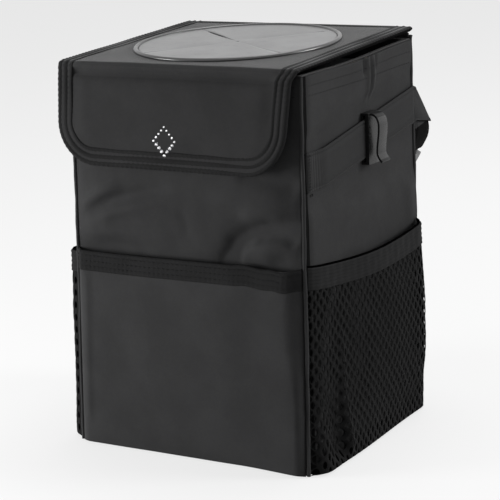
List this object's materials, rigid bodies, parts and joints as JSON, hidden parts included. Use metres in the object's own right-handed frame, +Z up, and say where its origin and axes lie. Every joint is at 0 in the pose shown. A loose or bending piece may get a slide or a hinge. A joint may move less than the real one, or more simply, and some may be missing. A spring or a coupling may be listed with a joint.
{
  "type": "car trash bin",
  "caption": "Soft-sided car trash bin: boxy cloth body, hinged lid with a round slit opening and a long front flap, outside pockets, webbing strap with a side-release buckle, and hook clips.",
  "frame": {"origin": "middle of the base's underside, on the plane it stands on", "axes": "+X to the right seen from the front, +Y from the front flap to the back with the strap, +Z up"},
  "size_m": [0.2304, 0.2247, 0.3031],
  "materials": {
    "oxford_cloth": "plain weave, matt",
    "base_cloth": "plain weave, matt",
    "lid_cloth": "plain weave, slight sheen",
    "stiffening_board": "plain",
    "waterproof_lining": "smooth, slight sheen",
    "piping": "twill",
    "binding_tape": "twill, stitched",
    "mesh": "open knit",
    "elastic_hem": "ribbed",
    "hook_and_loop": "napped",
    "webbing": "ribbed weave",
    "clip_plastic": "moulded, glossy",
    "tag_cloth": "satin weave",
    "ring_plastic": "satin",
    "membrane_rubber": "smooth, satin",
    "stud_metal": "polished"
  },
  "bodies": {
    "bin": {"front_panel": "oxford_cloth", "back_panel": "oxford_cloth", "left_panel": "oxford_cloth", "right_panel": "oxford_cloth", "base_panel": "base_cloth", "front_board": "stiffening_board", "back_board": "stiffening_board", "left_board": "stiffening_board", "right_board": "stiffening_board", "base_board": "stiffening_board", "liner": "waterproof_lining", "rim_hem": "binding_tape", "front_left_welt": "piping", "front_right_welt": "piping", "back_left_welt": "piping", "back_right_welt": "piping", "hinge_tape": "binding_tape", "front_pocket": "oxford_cloth", "front_pocket_binding": "binding_tape", "left_mesh_pocket": "mesh", "right_mesh_pocket": "mesh", "left_pocket_hem": "elastic_hem", "right_pocket_hem": "elastic_hem", "front_loop_patch": "hook_and_loop", "right_strap": "webbing", "left_strap": "webbing", "buckle_socket": "clip_plastic", "buckle_plug": "clip_plastic", "side_tag": "tag_cloth"},
    "lid": {"lid_cloth": "lid_cloth", "lid_board": "stiffening_board", "lid_lining": "waterproof_lining", "left_lid_binding": "binding_tape", "right_lid_binding": "binding_tape", "opening_ring": "ring_plastic", "slit_membrane": "membrane_rubber", "clamp_ring": "ring_plastic"},
    "flap": {"flap_cloth": "oxford_cloth", "flap_board": "stiffening_board", "flap_lining": "waterproof_lining", "flap_binding": "binding_tape", "flap_hook_patch": "hook_and_loop", "flap_studs": "stud_metal"},
    "right_clip": {"right_hook_clip": "clip_plastic"},
    "left_clip": {"left_hook_clip": "clip_plastic"}
  },
  "joints": [
    {"name": "lid_hinge", "type": "hinge", "parent": "bin", "child": "lid", "pos_m": [0, 0.0873, 0.3002], "axis": [-1, 0, 0], "range_deg": [0, 230]},
    {"name": "flap_hinge", "type": "hinge", "parent": "lid", "child": "flap", "pos_m": [0, -0.0925, 0.2915], "axis": [-1, 0, 0], "range_deg": [0, 240]},
    {"name": "right_clip_slide", "type": "slide", "parent": "bin", "child": "right_clip", "axis": [0, 0.9877, 0.1564], "range_m": [-0.061, 0.062]},
    {"name": "left_clip_slide", "type": "slide", "parent": "bin", "child": "left_clip", "axis": [0, 0.9877, 0.1564], "range_m": [-0.061, 0.062]}
  ]
}
